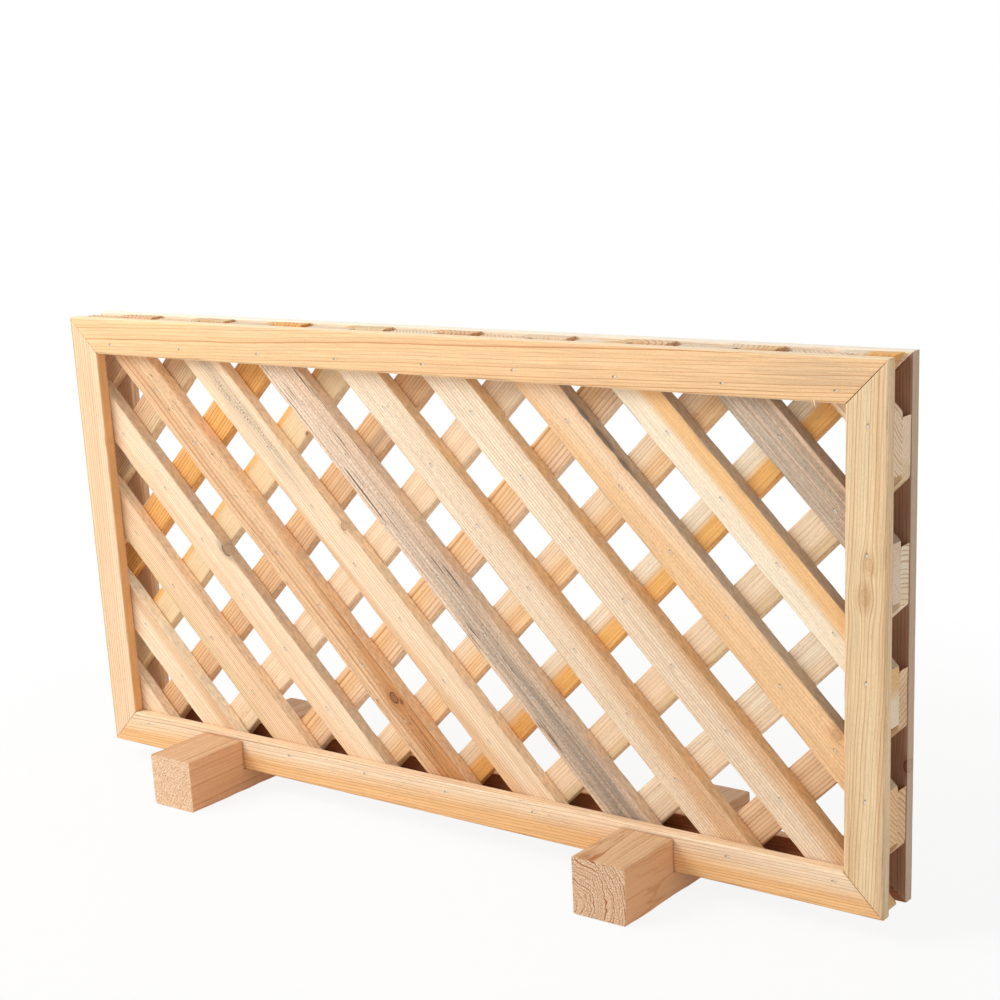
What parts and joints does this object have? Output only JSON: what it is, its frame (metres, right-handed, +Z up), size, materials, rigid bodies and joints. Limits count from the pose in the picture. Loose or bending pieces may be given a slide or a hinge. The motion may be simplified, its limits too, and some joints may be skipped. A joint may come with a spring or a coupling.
{
  "type": "freestanding lattice panel",
  "caption": "Low freestanding wooden lattice panel: crossed diagonal slats between two mitred frames, held upright by notched timber stands.",
  "frame": {"origin": "on the ground, under the middle of the panel", "axes": "+X along the panel, to the viewer's right; +Y from its front to its back; +Z up"},
  "size_m": [0.9, 0.205, 0.472],
  "materials": {
    "cream_wood": "planed, unfinished",
    "tan_wood": "planed, unfinished",
    "orange_wood": "planed, unfinished",
    "grey_wood": "planed, unfinished",
    "stand_wood": "planed, unfinished",
    "nail_steel": "bright"
  },
  "bodies": {
    "panel": {"front_top_rail": "orange_wood", "front_bottom_rail": "cream_wood", "front_left_rail": "cream_wood", "front_right_rail": "cream_wood", "back_top_rail": "orange_wood", "back_bottom_rail": "cream_wood", "back_left_rail": "cream_wood", "back_right_rail": "cream_wood", "front_slat_01": "cream_wood", "front_slat_02": "cream_wood", "front_slat_03": "tan_wood", "front_slat_04": "cream_wood", "front_slat_05": "tan_wood", "front_slat_06": "cream_wood", "front_slat_07": "grey_wood", "front_slat_08": "cream_wood", "front_slat_09": "cream_wood", "front_slat_10": "orange_wood", "front_slat_11": "cream_wood", "front_slat_12": "grey_wood", "front_slat_13": "cream_wood", "back_slat_01": "tan_wood", "back_slat_02": "tan_wood", "back_slat_03": "cream_wood", "back_slat_04": "cream_wood", "back_slat_05": "orange_wood", "back_slat_06": "tan_wood", "back_slat_07": "tan_wood", "back_slat_08": "cream_wood", "back_slat_09": "tan_wood", "back_slat_10": "cream_wood", "back_slat_11": "orange_wood", "back_slat_12": "tan_wood", "back_slat_13": "tan_wood", "front_top_rail_nail_left": "nail_steel", "front_top_rail_nail_right": "nail_steel", "front_bottom_rail_nail_left": "nail_steel", "front_bottom_rail_nail_right": "nail_steel", "front_left_rail_nail_lower": "nail_steel", "front_left_rail_nail_upper": "nail_steel", "front_right_rail_nail_lower": "nail_steel", "front_right_rail_nail_upper": "nail_steel", "back_top_rail_nail_left": "nail_steel", "back_top_rail_nail_right": "nail_steel", "back_bottom_rail_nail_left": "nail_steel", "back_bottom_rail_nail_right": "nail_steel", "back_left_rail_nail_lower": "nail_steel", "back_left_rail_nail_upper": "nail_steel", "back_right_rail_nail_lower": "nail_steel", "back_right_rail_nail_upper": "nail_steel"},
    "left_stand": {"left_stand": "stand_wood"},
    "right_stand": {"right_stand": "stand_wood"}
  },
  "joints": [
    {"name": "left_stand_pull", "type": "slide", "parent": "panel", "child": "left_stand", "axis": [0, 0, -1], "range_m": [0, 0.04]},
    {"name": "right_stand_pull", "type": "slide", "parent": "panel", "child": "right_stand", "axis": [0, 0, -1], "range_m": [0, 0.04]}
  ]
}
